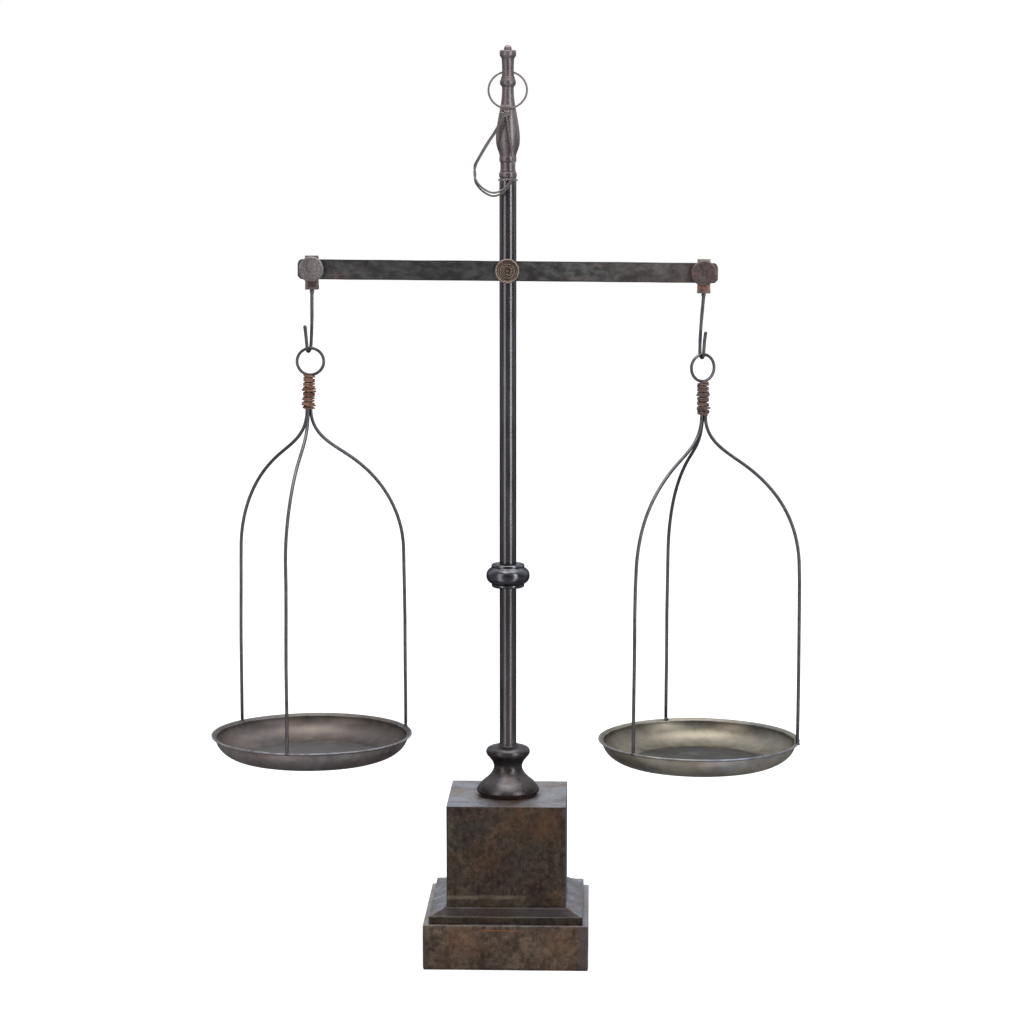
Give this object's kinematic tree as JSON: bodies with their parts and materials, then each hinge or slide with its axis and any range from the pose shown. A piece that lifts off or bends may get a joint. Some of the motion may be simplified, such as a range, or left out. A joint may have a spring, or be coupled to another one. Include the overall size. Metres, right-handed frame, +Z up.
{
  "type": "balance scale",
  "caption": "Decorative two-pan balance scale: stepped square base, turned post, pivoting beam and hanging pans in wire cages.",
  "frame": {"origin": "centre of the base's underside", "axes": "+Z up the post, +X along the beam towards the right pan, -Y towards the front, where the beam is"},
  "size_m": [0.6638, 0.227, 1.0207],
  "materials": {
    "base_patina": "dark olive-brown antique bronze patina with rust and green-grey mottling, satin",
    "post_gunmetal": "dark gunmetal, satin with rubbed highlights",
    "turned_dark": "dark brown-grey turned metal, satin, rust in the grooves",
    "pan_brass": "aged brass, brown-grey to olive, fine grain, satin",
    "iron_wire": "dark grey drawn wire, satin",
    "rusty_wire": "red-brown rusted wire, matt",
    "beam_steel": "charcoal with greenish-brown mottling, satin",
    "disc_brown": "brown-grey patina with rust at the edges, satin",
    "zinc_steel": "plain zinc-plated steel, hidden"
  },
  "bodies": {
    "root": {"plinth": "base_patina", "base_cover": "base_patina", "base_moulding": "base_patina", "pedestal_block": "base_patina", "ballast_plate": "zinc_steel", "tie_washer": "zinc_steel", "tie_nut": "zinc_steel", "tie_rod": "zinc_steel", "foot_washer": "rusty_wire", "column_foot": "turned_dark", "post_plug": "zinc_steel", "lower_post": "post_gunmetal", "joint_nipple": "zinc_steel", "upper_post": "post_gunmetal", "post_collar": "turned_dark", "finial": "turned_dark", "top_knob": "turned_dark", "pivot_boss": "disc_brown", "pivot_spacer": "zinc_steel", "pivot_washer": "zinc_steel", "pivot_nut": "beam_steel", "pivot_bolt": "beam_steel"},
    "beam": {"beam": "beam_steel", "pivot_bush": "pan_brass", "left_end_pin": "disc_brown", "left_pin_washer": "disc_brown", "right_end_pin": "disc_brown", "right_pin_washer": "disc_brown"},
    "left_stirrup": {"left_stirrup": "disc_brown"},
    "left_hook": {"left_hook": "iron_wire"},
    "left_cage": {"left_ring": "iron_wire", "left_lashing": "rusty_wire", "left_cage_wire_a": "iron_wire", "left_cage_wire_b": "iron_wire", "left_cage_wire_c": "iron_wire", "left_pan": "pan_brass"},
    "right_stirrup": {"right_stirrup": "disc_brown"},
    "right_hook": {"right_hook": "iron_wire"},
    "right_cage": {"right_ring": "iron_wire", "right_lashing": "rusty_wire", "right_cage_wire_a": "iron_wire", "right_cage_wire_b": "iron_wire", "right_cage_wire_c": "iron_wire", "right_pan": "pan_brass"},
    "hanging_ring": {"hanging_ring": "iron_wire"},
    "hanging_loop": {"loop_tie": "rusty_wire", "loop_turn_front": "iron_wire", "loop_turn_back": "iron_wire"}
  },
  "joints": [
    {"name": "beam_tilt", "type": "hinge", "parent": "root", "child": "beam", "pos_m": [0, -0.017, 0.773], "axis": [0, 1, 0], "range_deg": [-15, 14]},
    {"name": "left_stirrup_swing", "type": "hinge", "parent": "beam", "child": "left_stirrup", "pos_m": [-0.21679, -0.017, 0.7748], "axis": [0, 1, 0], "range_deg": [-15, 16]},
    {"name": "left_hook_swivel", "type": "hinge", "parent": "left_stirrup", "child": "left_hook", "pos_m": [-0.21679, -0.017, 0.7523], "axis": [0, 0, 1], "range_deg": [-90, 90]},
    {"name": "left_cage_swing", "type": "hinge", "parent": "left_hook", "child": "left_cage", "pos_m": [-0.22139, -0.017, 0.6874], "axis": [0.9976, 0.0698, 0], "range_deg": [-12, 12]},
    {"name": "right_stirrup_swing", "type": "hinge", "parent": "beam", "child": "right_stirrup", "pos_m": [0.21679, -0.017, 0.7712], "axis": [0, 1, 0], "range_deg": [-15, 16]},
    {"name": "right_hook_swivel", "type": "hinge", "parent": "right_stirrup", "child": "right_hook", "pos_m": [0.21679, -0.017, 0.7487], "axis": [0, 0, -1], "range_deg": [-90, 90]},
    {"name": "right_cage_swing", "type": "hinge", "parent": "right_hook", "child": "right_cage", "pos_m": [0.21539, -0.017, 0.6812], "axis": [0.866, 0.5, 0], "range_deg": [-12, 12]},
    {"name": "ring_lift", "type": "hinge", "parent": "root", "child": "hanging_ring", "pos_m": [0, 0, 0.9915], "axis": [-1, 0, 0], "range_deg": [0, 110]},
    {"name": "loop_lift", "type": "hinge", "parent": "hanging_ring", "child": "hanging_loop", "pos_m": [-0.0025, -0.01268, 0.9513], "axis": [-1, 0, 0], "range_deg": [0, 50]}
  ],
  "couplings": [
    {"joint": "left_stirrup_swing", "follows": "beam_tilt", "ratio": -1},
    {"joint": "right_stirrup_swing", "follows": "beam_tilt", "ratio": -1}
  ]
}
